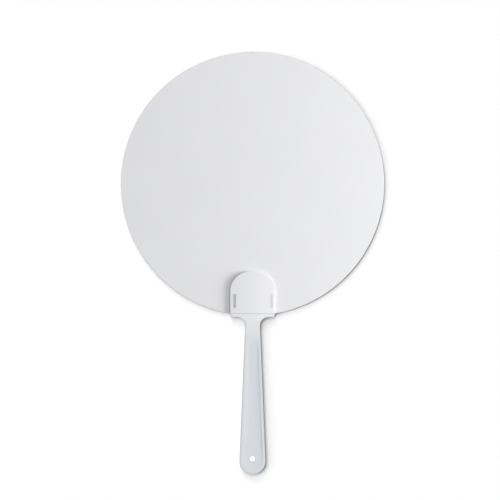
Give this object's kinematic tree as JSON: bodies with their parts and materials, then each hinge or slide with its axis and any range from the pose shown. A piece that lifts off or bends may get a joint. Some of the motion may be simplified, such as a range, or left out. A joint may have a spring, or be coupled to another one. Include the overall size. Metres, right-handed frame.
{
  "type": "manual hand fan",
  "caption": "Round rigid hand fan: a flat plastic blade held between a moulded handle's back plate and a crowned clip-on cover, with a dished grip and a hanging hole.",
  "frame": {"origin": "on the floor under the middle of the fan's outline, the fan lying on its back: z is 0 at the back of the handle, and x and y are 0 at the middle of the overall width and length", "axes": "+Z out of the fan's front face, +Y from the end of the grip to the top of the blade, +X to the right seen from the front"},
  "size_m": [0.24, 0.3846, 0.0068],
  "materials": {
    "handle_plastic": "white moulded polypropylene, satin",
    "hook_plastic": "white moulded polypropylene, satin",
    "blade_sheet": "white extruded polypropylene sheet, fine matt",
    "cover_plastic": "white moulded polypropylene, semi-gloss"
  },
  "bodies": {
    "handle": {"handle": "handle_plastic", "snap_hook_left": "hook_plastic", "snap_hook_right": "hook_plastic"},
    "blade": {"fan_blade": "blade_sheet"},
    "cover": {"front_cover": "cover_plastic"}
  },
  "joints": [
    {"name": "blade_lift", "type": "slide", "parent": "handle", "child": "blade", "axis": [0, 0, 1], "range_m": [0, 0.02]},
    {"name": "cover_lift", "type": "slide", "parent": "blade", "child": "cover", "axis": [0, 0, 1], "range_m": [0, 0.02], "deforming": ["snap_hook_left", "snap_hook_right"]}
  ]
}
